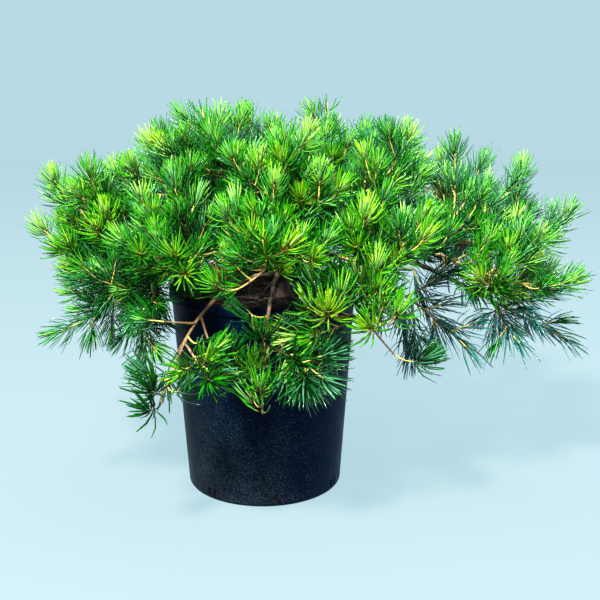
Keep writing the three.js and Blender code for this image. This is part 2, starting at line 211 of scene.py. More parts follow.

# Each bough is listed under what carries it. pitch is the rise of its stem at its end, heading the stem's
# direction where that differs from the bough's, stem its length where that isn't the usual one, and lift how
# far its twigs turn up. shade is how dark its leaves are: partly their age, and partly painted light and
# shade for where the mass sits, paler on lit tufts at the top and front, darker low down and under the
# crown.
# side is how many shoots a twig has and upturn how far they turn up, where that isn't as in the habit. These
# three hold for all twigs, or are given for each.
BOUGHS = {
    "trunk": {
        "top_left": dict(at=0.82, azimuth=184, reach=69, rise=95, arch=0, pitch=54, shade=0.2, side=3),
        "top_mid_left": dict(at=1, azimuth=172, reach=36, rise=108, arch=0, pitch=72, shade=0.22, side=3),
        "top_mid": dict(at=0.93, azimuth=52, reach=34, rise=92, arch=-4, pitch=66, shade=0.24, side=3),
        "top_right": dict(at=0.87, azimuth=356, reach=68, rise=95, arch=-3, pitch=56, shade=0.22, side=3),
        "front_top": dict(at=0.8, azimuth=274, reach=58, rise=98, arch=-2, pitch=52, shade=0.2),
        "back_high": dict(at=0.76, azimuth=94, reach=66, rise=93, arch=-2, pitch=52, shade=0.28, side=2),
        "right_hang": dict(
            at=0.34, azimuth=338, reach=120, rise=24, arch=20, pitch=-40, lift=0,
            habit="hanging", shade=0.85,
        ),
        "front_star": dict(
            at=0.42, azimuth=304, reach=136, rise=22, arch=18, pitch=10, heading=215, stem=44,
            habit="star", shade=(0.6, 0.05, 0.0, 0.1, 0.0), side=(0, 3, 4, 2, 4),
            upturn=(1, 1.7, -0.2, 1, 1),
        ),
        "front_hang_left": dict(
            at=0.3, azimuth=236, reach=118, rise=23, arch=22, pitch=-64, heading=230, stem=90, lift=0,
            habit="star", shade=(0.85, 0.85, 0.8, 0.2, 0.92), side=(2, 0, 0, 4, 3),
            upturn=(1.7, 0, 0, 0.5, 1.2),
        ),
        "front_hang_right": dict(
            at=0.38, azimuth=265, reach=120, rise=20, arch=24, pitch=-72, stem=66, lift=0,
            habit="star", shade=(0.92, 0.85, 0.05, 0.92, 0.05), side=(4, 0, 5, 4, 3),
            upturn=(0.3, 1, 1.6, 0, 2.6),
        ),
        "back_low": dict(
            at=0.26, azimuth=108, reach=126, rise=26, arch=20, pitch=-40, lift=0,
            habit="hanging", shade=0.85,
        ),
    },
    "limb_left": {
        "left_high": dict(at=0.82, azimuth=188, reach=136, rise=68, arch=-4, pitch=28, shade=0.1),
        "left_tip": dict(at=1, azimuth=182, reach=150, rise=56, arch=6, pitch=6, shade=0.1),
        "left_low": dict(
            at=0.62, azimuth=203, reach=130, rise=40, arch=12, pitch=-22, lift=0,
            habit="drooping", shade=0.54,
        ),
        "back_left_low": dict(
            at=0.42, azimuth=154, reach=138, rise=42, arch=10, pitch=-18, lift=0.1,
            habit="drooping", shade=0.5,
        ),
    },
    "limb_right": {
        "right_high": dict(
            at=0.66, azimuth=1, reach=150, rise=61, arch=-5, pitch=36,
            habit="open", shade=0.28,
        ),
        "right_far": dict(at=1, azimuth=1, reach=202, rise=58, arch=3, pitch=16, habit="open", shade=0.26),
        "right_mid": dict(at=0.86, azimuth=346, reach=188, rise=50, arch=10, pitch=-12, lift=0.3, shade=0.2),
        "right_low": dict(
            at=0.5, azimuth=354, reach=205, rise=14, arch=16, pitch=-26, lift=0,
            habit="hanging", shade=0.85,
        ),
        "back_right_far": dict(
            at=0.76, azimuth=28, reach=184, rise=66, arch=6, pitch=12,
            habit="open", shade=0.35,
        ),
    },
    "limb_front": {
        "front_mid_left": dict(at=0.7, azimuth=228, reach=104, rise=66, arch=6, pitch=14, shade=0.2),
        "front_mid": dict(at=1, azimuth=266, reach=104, rise=70, arch=4, pitch=16, shade=0.15),
        "front_mid_right": dict(at=0.84, azimuth=304, reach=112, rise=66, arch=5, pitch=16, shade=0.15),
    },
    "limb_back": {
        "back_left": dict(at=0.72, azimuth=128, reach=122, rise=90, arch=0, pitch=32, shade=0.3, side=3),
        "back_far": dict(at=1, azimuth=92, reach=130, rise=70, arch=4, pitch=14, shade=0.35),
        "back_right": dict(at=0.86, azimuth=54, reach=124, rise=92, arch=2, pitch=34, shade=0.3, side=3),
    },
}

# The photograph's view, worked out from the pot's rim and base
VIEW = SimpleNamespace(place=(39.8, -1191.5, 523.4), pitch=14.9, focal_px=1130, frame_px=600, sensor=36)

# The studio. A light has its place, aim and size in metres, its power in watts and its colour.
LIGHTS = {
    "key": ((-0.55, -1.5, 2.0), (0.03, 0, 0.25), 0.35, 225, (1.0, 0.96, 0.86)),
    "fill": ((1.6, -1.4, 1.2), (0.03, 0, 0.25), 1.4, 18, (0.85, 0.93, 1.0)),
    "low_fill": ((1.1, -1.6, 0.45), (0.15, 0, 0.2), 1.2, 17, (0.85, 0.95, 1.0)),
    "sky": ((0.2, 0.2, 2.4), (0.03, 0, 0.3), 2.0, 48, (1.0, 0.99, 0.95)),
    "left_edge": ((-1.6, 0.4, 0.5), (0, 0, 0.12), 0.8, 16, (0.75, 0.88, 1.0)),
    "right_edge": ((1.6, 0.5, 0.5), (0, 0, 0.12), 0.8, 24, (0.85, 0.93, 1.0)),
}
SWEEP = SimpleNamespace(
    radius=2600, bend=900, bend_steps=16, wall=2600, floor_rings=(400, 1200), sides=96,
    colour=(0.045, 0.048, 0.05), glow=(0.5, 0.72, 0.8), glow_strength=0.77,
)
BACKDROP = SimpleNamespace(colour=(0.78, 0.86, 0.92), strength=0.05)


# Rules of growth
def lerp(first, last, share):
    return first + (last - first) * share


def unit(vector):
    return vector / np.linalg.norm(vector, axis=-1, keepdims=True)


def direction(azimuth, pitch):
    a = math.radians(azimuth)
    p = math.radians(pitch)
    return np.array([math.cos(a) * math.cos(p), math.sin(a) * math.cos(p), math.sin(p)])


def seeded(seed):
    """Numbers from 0 to 1 that are the same for the same seed, and the same as in the solids."""
    state = seed
    while True:
        state = (state * SEED.factor + SEED.shift) % SEED.numbers
        yield state / SEED.numbers


@dataclass
class Path:
    """A bend through three points, as a quadratic curve."""

    start: np.ndarray
    middle: np.ndarray
    tip: np.ndarray

    @property
    def length(self):
        return np.linalg.norm(self.tip - self.start)

    def point(self, share):
        s = np.asarray(share, float)[..., None]
        return (1 - s) ** 2 * self.start + 2 * s * (1 - s) * self.middle + s**2 * self.tip

    def tangent(self, share):
        s = np.asarray(share, float)[..., None]
        return unit((1 - s) * (self.middle - self.start) + s * (self.tip - self.middle))


@dataclass
class Wood:
    """A tapering limb, stem, twig or shoot."""

    path: Path
    root_radius: float
    tip_radius: float
    flare: float = 0

    def radius(self, share):
        rooted = self.flare * np.exp(-share * TRUNK.height / TRUNK.flare_height)
        return lerp(self.root_radius, self.tip_radius, share) + rooted


@dataclass
class Spray:
    """The leafy part of a shoot."""

    path: Path
    habit: SimpleNamespace
    bare: float
    shade: float


@dataclass
class Leaves(Path):
    """Many such bends, one for each leaf, with the direction of its upper side."""

    upper: np.ndarray
    width: np.ndarray
    shade: np.ndarray

    def only(self, chosen):
        return Leaves(*(getattr(self, field.name)[chosen] for field in fields(self)))

    @staticmethod
    def joined(groups):
        return Leaves(*(np.concatenate([getattr(g, f.name) for g in groups]) for f in fields(Leaves)))


def leaning(axis, tilt, turn):
    """A direction that leans away from each axis by tilt radians, on the side that turn gives."""
    upright = np.abs(axis[..., 2:]) > STEEP
    side = unit(np.cross(np.where(upright, ACROSS, UP), axis))
    turned = side * np.cos(turn)[..., None] + np.cross(axis, side) * np.sin(turn)[..., None]
    return axis * np.cos(tilt)[..., None] + turned * np.sin(tilt)[..., None]


def branch(start, out, length, lift):
    """A twig that starts along out and turns up, or down where lift is negative."""
    middle = start + out * length / 2
    return Path(start, middle, middle + unit(out + UP * lift) * length / 2)


def grow_trunk():
    foot = FOOT + UP * CLEAR
    path = Path(foot, foot + UP * TRUNK.height / 2, foot + UP * TRUNK.height + TRUNK.lean)
    return Wood(path, TRUNK.root_radius, TRUNK.tip_radius, TRUNK.flare)


def grow_limb(row, parent, size):
    start = parent.path.point(row["at"])
    tip = FOOT + direction(row["azimuth"], 0) * row["reach"] + UP * row["rise"]
    return Wood(Path(start, (start + tip) / 2 + UP * row["arch"], tip), size.root_radius, size.tip_radius)


def grow_stem(row, bough):
    half = row.get("stem", STEM.length) / 2
    start = bough.path.point(1)
    middle = start + bough.path.tangent(1) * half
    tip = middle + direction(row.get("heading", row["azimuth"]), row["pitch"]) * half
    return Wood(Path(start, middle, tip), STEM.root_radius, STEM.tip_radius)


def grow_twigs(row, stem, random):
    """The twigs of the solid that stands for this mass of leaves."""
    twigs = []
    first_turn = next(random) * 2 * math.pi
    for i in range(TWIG.per_stem):
        along = i / (TWIG.per_stem - 1)
        share = lerp(STEM.first_twig, STEM.last_twig, along)
        length = TWIG.length * (1 + TWIG.vary * (2 * next(random) - 1))
        tilt = 0 if along == 1 else TWIG.diverge * (1 + TWIG.vary * (2 * next(random) - 1))
        turn = first_turn + i * GOLDEN_ANGLE
        out = leaning(stem.path.tangent(share), np.radians(tilt), np.array(turn))
        path = branch(stem.path.point(share), out, length, row.get("lift", TWIG.lift))
        twigs.append(Wood(path, TWIG.root_radius, TWIG.tip_radius))
    return twigs


def grow_shoots(parent, rule, count, lift, random):
    """Shoots leave their parent by the rule that twigs leave a stem, but not into the pot or the gaps."""
    shoots = []
    first_turn = random.uniform(0, 2 * math.pi)
    for i in range(count):
        share = lerp(rule.first, rule.last, (i + 0.5) / count)
        length = rule.length * (1 + rule.vary * random.uniform(-1, 1))
        tilt = rule.diverge * (1 + rule.vary * random.uniform(-1, 1))
        turn = first_turn + i * GOLDEN_ANGLE
        out = leaning(parent.path.tangent(share), np.radians(tilt), np.array(turn))
        path = branch(parent.path.point(share), out, length, lift)
        outer = path.point(TESTED_SHOOT)
        if not (in_pot(outer) | in_opening(outer)).any():
            shoots.append(Wood(path, SHOOT.root_radius, SHOOT.tip_radius))
    return shoots


# Pot and mix
def wall_radius(height):
    return lerp(POT.base_radius, POT.top_radius, height / POT.height)


def inner_radius(height):
    return wall_radius(height) - POT.wall


def in_pot(points):
    """Whether points lie in the pot's wall or lip, or in its mix."""
    radius = np.hypot(points[..., 0], points[..., 1])
    height = points[..., 2]
    below_rim = height < POT.height + CLEAR
    inside = radius < wall_radius(height) + POT.lip_overhang + CLEAR
    over_mix = (radius < inner_radius(height) - CLEAR) & (height > FOOT[2] + CLEAR)
    return below_rim & inside & ~over_mix


def in_opening(points):
    """Whether points lie in a gap in the leaves."""
    x, y, z = points.T
    inside = np.zeros(len(points), bool)
    for gap in OPENINGS:
        across = (x - gap.x - gap.drift * y) / gap.half_width
        above = (z - gap.height - gap.slope * y) / gap.half_height
        inside |= (y < 0) & (across**2 + above**2 < 1)
    return inside


# Meshes and node trees
def add(tree, kind, inputs=(), **settings):
    """Adds a node. inputs gives a value or another node's output for each named socket."""
    node = tree.nodes.new(kind)
    for name, value in settings.items():
        setattr(node, name, value)
    for name, value in dict(inputs).items():
        if isinstance(value, bpy.types.NodeSocket):
            tree.links.new(value, node.inputs[name])
        else:
            node.inputs[name].default_value = value
    return node


def calculate(tree, operation, *values):
    node = add(tree, "ShaderNodeMath", enumerate(values), operation=operation)
    return node.outputs[0]


def scaled(tree, vector, factor):
    node = add(tree, "ShaderNodeVectorMath", {0: vector, "Scale": factor}, operation="SCALE")
    return node.outputs[0]


def noise(tree, place, scale, detail):
    """The outputs of a noise: its level, Fac, and three levels at once, Color."""
    node = add(tree, "ShaderNodeTexNoise", {"Vector": place, "Scale": scale, "Detail": detail})
    return node.outputs


def moved(tree, geometry, offset, **chosen):
    node = add(tree, "GeometryNodeSetPosition", {"Geometry": geometry, "Offset": offset, **chosen})
    return node.outputs[0]


def is_above(tree, place, foot):
    height = add(tree, "ShaderNodeSeparateXYZ", {0: place}).outputs["Z"]
    return calculate(tree, "GREATER_THAN", height, foot)


def geometry_tree(name, **inputs):
    """A node tree with a geometry input and output, and named inputs of the socket types given."""
    tree = bpy.data.node_groups.new(name, "GeometryNodeTree")
    tree.interface.new_socket("Geometry", in_out="INPUT", socket_type="NodeSocketGeometry")
    tree.interface.new_socket("Geometry", in_out="OUTPUT", socket_type="NodeSocketGeometry")
    for label, kind in inputs.items():
        tree.interface.new_socket(label, in_out="INPUT", socket_type=f"NodeSocket{kind}")
    return tree, add(tree, "NodeGroupInput").outputs


def end_tree(tree, geometry, material):
    """Realizes what the tree made, gives it its material and sends it out."""
    real = add(tree, "GeometryNodeRealizeInstances", {"Geometry": geometry})
    dressed = add(tree, "GeometryNodeSetMaterial", {"Geometry": real.outputs[0], "Material": material})
    add(tree, "NodeGroupOutput", {"Geometry": dressed.outputs[0]})


def link_piece(name, data):
    piece = bpy.data.objects.new(name, data)
    bpy.context.scene.collection.objects.link(piece)
    return piece


def run_tree(tree, name, data, **values):
    """Runs a node tree on a mesh or curve, and keeps the result as a plain mesh."""
    carrier = link_piece(f"{name}_before", data)
    modifier = carrier.modifiers.new(tree.name, "NODES")
    modifier.node_group = tree
    for socket in tree.interface.items_tree:
        if socket.name in values:
            modifier[socket.identifier] = values[socket.name]
    evaluated = carrier.evaluated_get(bpy.context.evaluated_depsgraph_get())
    mesh = bpy.data.meshes.new_from_object(evaluated)
    bpy.data.objects.remove(carrier)
    return link_piece(name, mesh)


def turned_points(profile, sides):
    """Rings of points, one for each [radius, height] of a profile, about the +Z axis."""
    angles = np.arange(sides) * 2 * math.pi / sides
    ring = np.stack([np.cos(angles), np.sin(angles), np.zeros(sides)], axis=1)
    return np.concatenate([ring * radius + UP * height for radius, height in profile])


def turned_mesh(name, profile, sides):
    """A closed profile of [radius, height] points turned about the +Z axis, from the axis to the axis."""
    inner = profile[1:-1]
    foot = UP * profile[0][1]
    top = UP * profile[-1][1]
    points = np.concatenate([[foot], turned_points(inner, sides), [top]])
    last = 1 + sides * len(inner)
    faces = []
    for i in range(sides):
        j = (i + 1) % sides
        faces.append((0, 1 + j, 1 + i))
        for k in range(len(inner) - 1):
            low = 1 + k * sides
            high = low + sides
            faces.append((low + i, low + j, high + j, high + i))
        faces.append((last - sides + i, last - sides + j, last))
    mesh = bpy.data.meshes.new(name)
    mesh.from_pydata(points * MM, [], faces)
    return mesh


def arc(centre, radius, first, last, steps):
    """Points of a round corner in a profile, between two angles in degrees."""
    angles = np.radians(np.linspace(first, last, steps + 1))
    return [(centre[0] + radius * math.cos(a), centre[1] + radius * math.sin(a)) for a in angles]


def wood_curves(name, woods, step):
    """A curve for each limb, with its radius at each point."""
    curves = bpy.data.curves.new(name, "CURVE")
    curves.dimensions = "3D"
    for wood in woods:
        shares = np.linspace(0, 1, max(LEAST_STEPS, round(wood.path.length / step)) + 1)
        spline = curves.splines.new("POLY")
        spline.points.add(len(shares) - 1)
        places = np.column_stack([wood.path.point(shares) * MM, np.ones(len(shares))])
        spline.points.foreach_set("co", places.ravel())
        spline.points.foreach_set("radius", wood.radius(shares) * MM)
    return curves


def bark_tree():
    """Limbs along curves, crooked between their ends and with the bark's relief."""
    tree, given = geometry_tree(
        "bark", Sides="Int", Wander="Float", Relief="Float", Grain="Float", Material="Material",
    )
    place = add(tree, "GeometryNodeInputPosition").outputs[0]
    bend = noise(tree, place, scale=22.0, detail=1.0)["Color"]
    share = add(tree, "GeometryNodeSplineParameter").outputs["Factor"]
    loose = calculate(tree, "MULTIPLY", share, calculate(tree, "SUBTRACT", 1.0, share))
    reach = calculate(tree, "MULTIPLY", loose, given["Wander"])
    centred = add(tree, "ShaderNodeVectorMath", {0: bend, 1: (MEAN_NOISE,) * 3}, operation="SUBTRACT")
    crooked = moved(tree, given["Geometry"], scaled(tree, centred.outputs[0], reach))
    section = add(tree, "GeometryNodeCurvePrimitiveCircle", {"Resolution": given["Sides"], "Radius": 1.0})
    tube = add(tree, "GeometryNodeCurveToMesh", {
        "Curve": crooked,
        "Profile Curve": section.outputs[0],
        "Scale": add(tree, "GeometryNodeInputRadius").outputs[0],
        "Fill Caps": True,
    })
    stretched = add(tree, "ShaderNodeVectorMath", {0: place, 1: FIBRE}, operation="MULTIPLY")
    ridges = noise(tree, stretched.outputs[0], scale=given["Grain"], detail=3.0)["Fac"]
    height = calculate(tree, "SUBTRACT", ridges, MEAN_NOISE)
    lift = calculate(tree, "MULTIPLY", height, given["Relief"])
    normal = add(tree, "GeometryNodeInputNormal").outputs[0]
    rough = moved(tree, tube.outputs[0], scaled(tree, normal, lift))
    shaded = add(tree, "GeometryNodeSetShadeSmooth", {"Geometry": rough})
    end_tree(tree, shaded.outputs[0], given["Material"])
    return tree


def drain_tree():
    """Cuts pairs of drain slots through the foot of the pot."""
    tree, given = geometry_tree(
        "drain_slots", Groups="Int", First="Float", Pair="Float", Ring="Float", Height="Float",
        Size="Vector", Material="Material",
    )
    index = add(tree, "GeometryNodeInputIndex").outputs[0]
    group = calculate(tree, "FLOOR", calculate(tree, "DIVIDE", index, 2.0))
    half = calculate(tree, "SUBTRACT", calculate(tree, "MODULO", index, 2.0), 0.5)
    step = calculate(tree, "DIVIDE", 2 * math.pi, given["Groups"])
    to_group = calculate(tree, "MULTIPLY_ADD", group, step, given["First"])
    angle = calculate(tree, "MULTIPLY_ADD", half, given["Pair"], to_group)
    spot = add(tree, "ShaderNodeCombineXYZ", {
        "X": calculate(tree, "MULTIPLY", calculate(tree, "COSINE", angle), given["Ring"]),
        "Y": calculate(tree, "MULTIPLY", calculate(tree, "SINE", angle), given["Ring"]),
        "Z": given["Height"],
    })
    count = calculate(tree, "MULTIPLY", given["Groups"], 2.0)
    spots = add(tree, "GeometryNodePoints", {"Count": count, "Position": spot.outputs[0]})
    cutter = add(tree, "GeometryNodeMeshCube", {"Size": given["Size"]})
    facing = add(tree, "ShaderNodeCombineXYZ", {"Z": angle})
    cutters = add(tree, "GeometryNodeInstanceOnPoints", {
        "Points": spots.outputs[0],
        "Instance": cutter.outputs[0],
        "Rotation": facing.outputs[0],
    })
    real = add(tree, "GeometryNodeRealizeInstances", {"Geometry": cutters.outputs[0]})
    cut = add(
        tree, "GeometryNodeMeshBoolean", {"Mesh 1": given["Geometry"], "Mesh 2": real.outputs[0]},
        operation="DIFFERENCE", solver="EXACT",
    )
    end_tree(tree, cut.outputs[0], given["Material"])
    return tree


def lump_tree():
    """Roughens the mix's surface."""
    tree, given = geometry_tree("lumps", Lump="Float", Grain="Float", Foot="Float", Material="Material")
    place = add(tree, "GeometryNodeInputPosition").outputs[0]
    on_top = is_above(tree, place, given["Foot"])
    level = noise(tree, place, scale=given["Grain"], detail=4.0)["Fac"]
    raised = calculate(tree, "MULTIPLY", calculate(tree, "SUBTRACT", level, MEAN_NOISE), given["Lump"])
    lift = add(tree, "ShaderNodeCombineXYZ", {"Z": raised})
    rough = moved(tree, given["Geometry"], lift.outputs[0], Selection=on_top)
    end_tree(tree, rough, given["Material"])
    return tree


def chip_tree():
    """Scatters broken bits of bark over the mix."""
    tree, given = geometry_tree(
        "bark_chips", Density="Float", Seed="Int", Smallest="Vector", Largest="Vector", Foot="Float",
        Material="Material",
    )
    place = add(tree, "GeometryNodeInputPosition").outputs[0]
    top = add(
        tree, "GeometryNodeSeparateGeometry",
        {"Geometry": given["Geometry"], "Selection": is_above(tree, place, given["Foot"])},
        domain="FACE",
    )
    spots = add(tree, "GeometryNodeDistributePointsOnFaces", {
        "Mesh": top.outputs["Selection"],
        "Density": given["Density"],
        "Seed": given["Seed"],
    })
    chip = add(tree, "GeometryNodeMeshIcoSphere", {"Radius": 1.0, "Subdivisions": 2})
    flaw = noise(tree, place, scale=1.3, detail=2.0)["Fac"]
    dent = calculate(tree, "SUBTRACT", flaw, CHIP.dent)
    normal = add(tree, "GeometryNodeInputNormal").outputs[0]
    broken = moved(tree, chip.outputs[0], scaled(tree, normal, dent))
    lowest = (-CHIP.tilt, -CHIP.tilt, 0.0)
    highest = (CHIP.tilt, CHIP.tilt, 2 * math.pi)
    turn = add(
        tree, "FunctionNodeRandomValue", {"Min": lowest, "Max": highest, "Seed": given["Seed"]},
        data_type="FLOAT_VECTOR",
    )
    size = add(
        tree, "FunctionNodeRandomValue",
        {"Min": given["Smallest"], "Max": given["Largest"], "Seed": given["Seed"]},
        data_type="FLOAT_VECTOR",
    )
    chips = add(tree, "GeometryNodeInstanceOnPoints", {
        "Points": spots.outputs["Points"],
        "Instance": broken,
        "Rotation": turn.outputs[0],
        "Scale": size.outputs[0],
    })
    end_tree(tree, chips.outputs[0], given["Material"])
    return tree


# Materials
def new_material(name, colour, roughness):
    material = bpy.data.materials.new(name)
    material.use_nodes = True
    shader = material.node_tree.nodes["Principled BSDF"]
    shader.inputs["Base Color"].default_value = (*colour, 1)
    shader.inputs["Roughness"].default_value = roughness
    return material, material.node_tree, shader


def leaf_green(name, colour):
    """A plain colour of leaf, since the colours are dealt out by spray."""
    material, _, shader = new_material(name, colour, LEAF_FINISH.roughness)
    shader.inputs["Specular IOR Level"].default_value = LEAF_FINISH.specular
    return material


def object_place(tree, scale=(1, 1, 1)):
    place = add(tree, "ShaderNodeTexCoord").outputs["Object"]
    return add(tree, "ShaderNodeMapping", {"Vector": place, "Scale": scale}).outputs[0]


def colour_mix(tree, share, first, second):
    """A mix of two colours, each a plain one or another node's output."""
    node = add(tree, "ShaderNodeMix", {"Factor": share}, data_type="RGBA")
    sockets = {socket.identifier: socket for socket in (*node.inputs, *node.outputs)}
    for name, colour in (("A_Color", first), ("B_Color", second)):
        if isinstance(colour, bpy.types.NodeSocket):
            tree.links.new(colour, sockets[name])
        else:
            sockets[name].default_value = (*colour, 1)
    return sockets["Result_Color"]


def ranged(tree, value, low, high, first=0.0, last=1.0):
    node = add(tree, "ShaderNodeMapRange", {
        "Value": value, "From Min": low, "From Max": high, "To Min": first, "To Max": last,
    })
    return node.outputs[0]


def add_bump(tree, shader, height, strength, distance):
    bump = add(tree, "ShaderNodeBump", {"Strength": strength, "Distance": distance, "Height": height})
    tree.links.new(bump.outputs[0], shader.inputs["Normal"])


def bark_material(name, crevice, ridge, bloom, grain):
    """Fibrous bark: dark crevices, paler ridges and patches of weathered bloom."""
    material, tree, shader = new_material(name, ridge, BARK_FINISH.roughness)
    fibre = noise(tree, object_place(tree, FIBRE), grain, detail=5.0)["Fac"]
    patch = noise(tree, object_place(tree), grain * BARK_FINISH.bloom_grain, detail=2.0)["Fac"]
    lined = colour_mix(tree, ranged(tree, fibre, *BARK_FINISH.ridges), crevice, ridge)
    weathered = colour_mix(tree, ranged(tree, patch, *BARK_FINISH.blooms), lined, bloom)
    tree.links.new(weathered, shader.inputs["Base Color"])
    add_bump(tree, shader, fibre, strength=0.5, distance=0.0006)
    return material


def pot_material():
    """Black moulded plastic with a bluish film, and dust and fine grey grit, most of it low on the left."""
    material, tree, shader = new_material("pot_plastic", PLASTIC.base, PLASTIC.roughness)
    place = object_place(tree)
    axes = add(tree, "ShaderNodeSeparateXYZ", {0: place}).outputs
    cloud = noise(tree, place, scale=38.0, detail=3.0)["Fac"]
    low = ranged(tree, axes["Z"], *DUST.heights)
    left = ranged(tree, axes["X"], *DUST.sides, DUST.least, 1.0)
    dust = calculate(tree, "MULTIPLY", calculate(tree, "MULTIPLY", low, left), cloud)
    grit = add(tree, "ShaderNodeTexVoronoi", {"Vector": place, "Scale": 900.0}).outputs
    chosen = add(tree, "ShaderNodeSeparateColor", {"Color": grit["Color"]}).outputs["Red"]
    present = calculate(tree, "LESS_THAN", chosen, calculate(tree, "MULTIPLY", dust, DUST.grit))
    speck = calculate(tree, "MULTIPLY", present, ranged(tree, grit["Distance"], *DUST.grit_edge))
    thickness = calculate(tree, "MULTIPLY", cloud, PLASTIC.film)
    film = colour_mix(tree, thickness, PLASTIC.thin_film, PLASTIC.thick_film)
    dusty = colour_mix(tree, dust, film, DUST.colour)
    gritty = colour_mix(tree, speck, dusty, DUST.grit_colour)
    tree.links.new(gritty, shader.inputs["Base Color"])
    shader.inputs["Specular IOR Level"].default_value = PLASTIC.specular
    sheen = ranged(tree, cloud, *PLASTIC.clouds, *PLASTIC.cloud_roughness)
    tree.links.new(sheen, shader.inputs["Roughness"])
    orange_peel = noise(tree, place, scale=420.0, detail=2.0)["Fac"]
    add_bump(tree, shader, orange_peel, strength=0.2, distance=0.0003)
    return material


def mix_material(name, dark, light, grain):
    """Crumbs of peat and composted bark."""
    material, tree, shader = new_material(name, dark, SOIL.roughness)
    crumb = noise(tree, object_place(tree), grain, detail=6.0)["Fac"]
    crumbs = colour_mix(tree, ranged(tree, crumb, *SOIL.crumbs), dark, light)
    tree.links.new(crumbs, shader.inputs["Base Color"])
    add_bump(tree, shader, crumb, strength=0.6, distance=0.001)
    return material


# Shades of leaf from new growth to old, each with the colour of its underside. The darker ones also serve
# as painted shade in the crown.
GREENS = [
    leaf_green("leaf_lime", (0.26, 0.43, 0.02)),
    leaf_green("leaf_yellow_green", (0.2, 0.41, 0.014)),
    leaf_green("leaf_bright", (0.12, 0.35, 0.008)),
    leaf_green("leaf_fresh", (0.07, 0.295, 0.005)),
    leaf_green("leaf_green", (0.036, 0.24, 0.004)),
    leaf_green("leaf_mid", (0.017, 0.19, 0.004)),
    leaf_green("leaf_deep", (0.006, 0.135, 0.003)),
    leaf_green("leaf_dark", (0.002, 0.075, 0.004)),
    leaf_green("leaf_blue", (0.012, 0.115, 0.095)),
]
# Undersides are paler, as the real leaves are, with pale and bluish tints added as painted sky reflection
UNDERSIDES = [
    leaf_green("underside_new", (0.31, 0.52, 0.11)),
    leaf_green("underside_green", (0.13, 0.37, 0.085)),
    leaf_green("underside_old", (0.05, 0.19, 0.1)),
    leaf_green("underside_blue", (0.05, 0.19, 0.15)),
]
UNDERSIDE_OF = (0, 0, 0, 1, 1, 1, 2, 2, 3)
LEAF_BASE = leaf_green("leaf_base", (0.28, 0.21, 0.02))
STRAW = leaf_green("leaf_straw", (0.3, 0.17, 0.045))

# Barks, each with the colours of its crevices, ridges and bloom and its noise scale
# Old bark is darkened partly as painted shade, for the trunk's foot in the shaded mouth of the pot
OLD_BARK = bark_material(
    "old_bark", (0.014, 0.010, 0.008), (0.06, 0.043, 0.032), (0.075, 0.062, 0.05), 420.0,
)
YOUNG_BARK = bark_material(
    "young_bark", (0.08, 0.045, 0.02), (0.22, 0.135, 0.06), (0.28, 0.21, 0.12), 600.0,
)
TWIG_BARK = bark_material("twig_bark", (0.26, 0.15, 0.05), (0.52, 0.34, 0.12), (0.5, 0.42, 0.12), 700.0)
# Grey bark is greyer than the tan, and darker partly as painted shade, for wood that hangs low in shade
GREY_BARK = bark_material(
    "grey_bark", (0.045, 0.036, 0.028), (0.16, 0.125, 0.092), (0.24, 0.21, 0.17), 520.0,
)
SHOOT_BARK = bark_material("shoot_bark", (0.42, 0.34, 0.07), (0.55, 0.46, 0.12), (0.4, 0.5, 0.1), 700.0)
BOUGH_BARKS = {"tan": YOUNG_BARK, "brown": GREY_BARK, "grey": GREY_BARK}
TWIG_BARKS = {"tan": TWIG_BARK, "brown": YOUNG_BARK, "grey": GREY_BARK}
BARK_TREE = bark_tree()


# Leaves
def spray_leaves(spray, random):
    """The leaves of one spray, from its oldest at the foot of the shoot to its youngest."""
    habit = spray.habit
    count = round(spray.path.length * (1 - spray.bare) / habit.spacing)
    age = (np.arange(count) + 0.5) / count
    share = lerp(spray.bare, 1.0, age)
    axis = spray.path.tangent(share)
    openness = habit.spread * random.random()
    closed = habit.closed + STAR.wider * openness
    incurve = NEEDLE.incurve + STAR.straighter * openness
    tilt = np.radians(lerp(habit.open, closed, age) + random.normal(0, NEEDLE.scatter, count))
    first_turn = random.uniform(0, 2 * math.pi)
    turn = first_turn + np.arange(count) * GOLDEN_ANGLE + random.normal(0, NEEDLE.turn_scatter, count)
    half = habit.length / 2 * lerp(1.0, NEEDLE.young, age) * (1 + random.normal(0, NEEDLE.vary, count))
    start = spray.path.point(share)
    middle = start + leaning(axis, tilt, turn) * half[:, None]
    tip = middle + unit(leaning(axis, tilt * incurve, turn) + UP * habit.rise) * half[:, None]
    shade = spray.shade + AGE_AND_TUFT_SHADE * (1 - age) + random.normal(0, SHADE_SPREAD.leaf, count)
    shade = np.minimum(shade, habit.darkest)
    if spray.shade >= DEAD:
        shade = np.full(count, DEAD)
    return Leaves(start, middle, tip, axis, np.full(count, habit.width), shade)


def fitting_leaves(leaves):
    """Leaves that stay out of the pot and the gaps, and within the plant's own reach."""
    low = np.array(cad_box[0]) / MM - REACH_SPARE
    high = np.array(cad_box[1]) / MM + REACH_SPARE
    keep = np.all((leaves.tip > low) & (leaves.tip < high), axis=1)
    for share in TESTED_LEAF:
        point = leaves.point(share)
        keep &= ~in_pot(point) & ~in_opening(point)
    return leaves.only(keep)


def needle_points(leaves):
    """The points of each leaf: its root, three corners at each station, and its tip."""
    points = [leaves.start]
    for share, wide in NEEDLE_STATIONS:
        centre = leaves.point(share)
        along = leaves.tangent(share)
        above = unit(leaves.upper - along * np.sum(leaves.upper * along, axis=1, keepdims=True))
        width = leaves.width[:, None] * wide
        side = np.cross(above, along) * width / 2
        points += [centre + side, centre + above * width * NEEDLE.thick, centre - side]
    return np.stack([*points, leaves.tip], axis=1)


